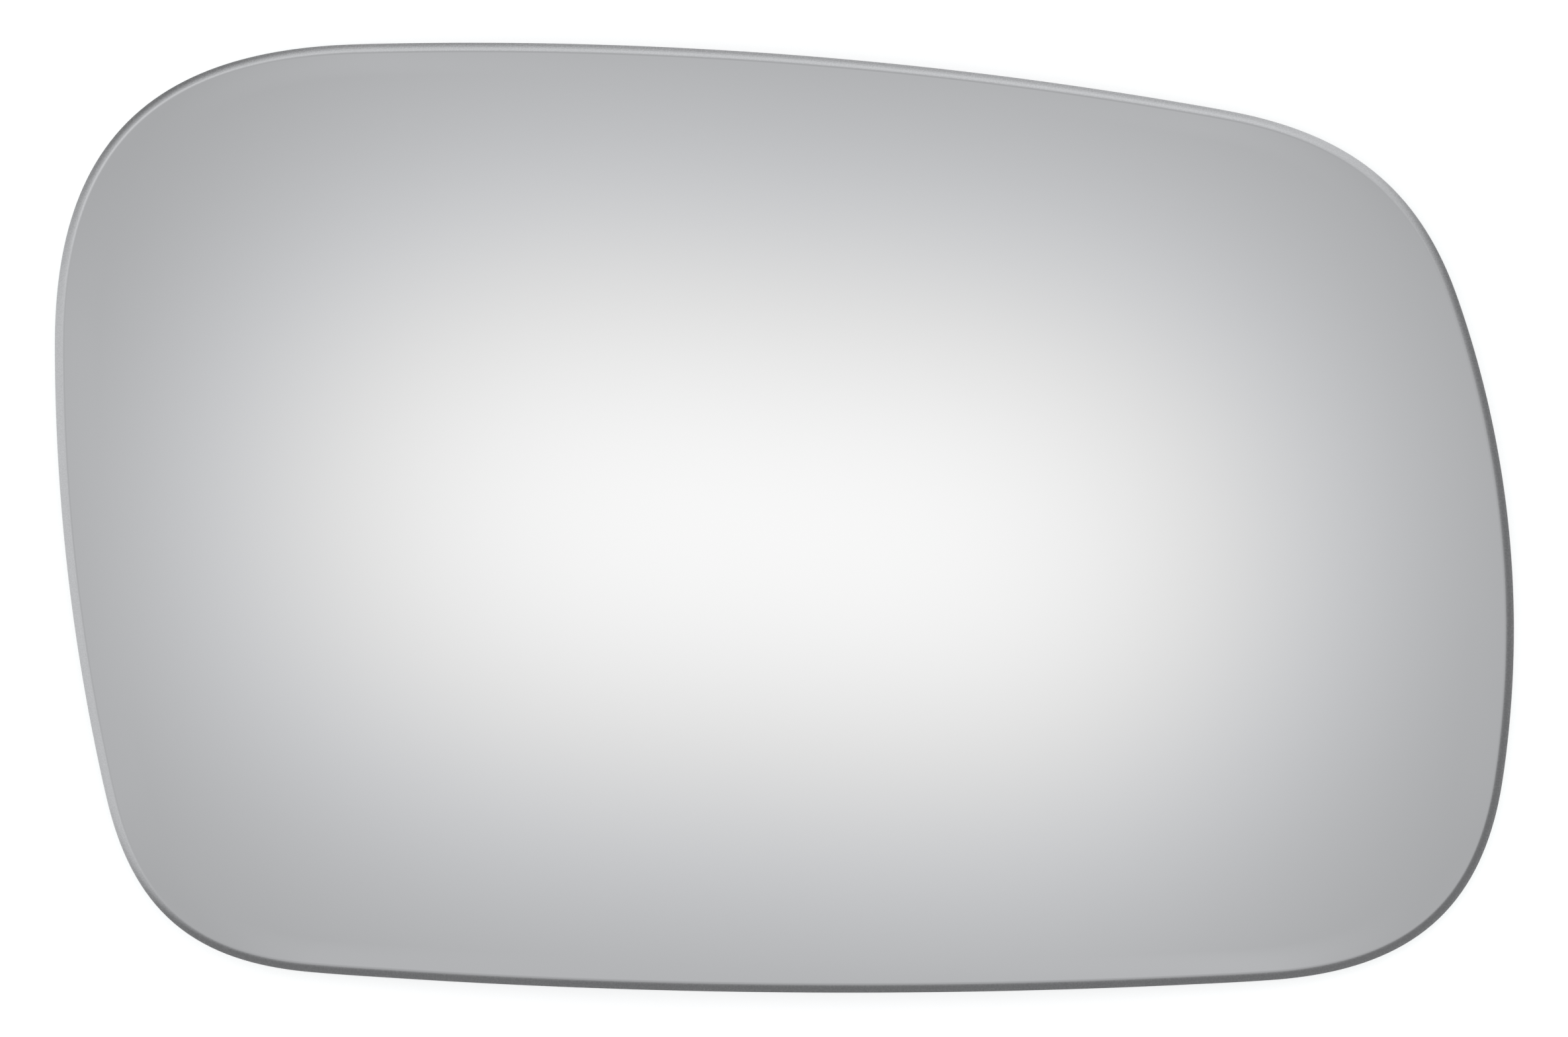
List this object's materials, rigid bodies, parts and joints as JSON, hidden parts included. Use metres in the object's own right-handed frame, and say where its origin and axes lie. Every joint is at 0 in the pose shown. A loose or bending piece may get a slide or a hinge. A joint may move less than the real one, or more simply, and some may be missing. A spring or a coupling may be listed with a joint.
{
  "type": "car door mirror glass",
  "caption": "Convex glass of a car door mirror: a bent, silvered pane with bowed sides, rounded corners and a ground bevel, bonded to a mirror carrier by its back.",
  "frame": {"origin": "below the middle of the pane's width and height, on the surface that the rim lies on", "axes": "+X along the long side, +Y towards the upper edge, +Z out of the reflecting face, which lies upwards"},
  "size_m": [0.184, 0.1196, 0.0054],
  "materials": {
    "silvered_glass": "polished face, ground bevel, painted back"
  },
  "bodies": {
    "root": {"mirror_glass": "silvered_glass"}
  },
  "joints": []
}
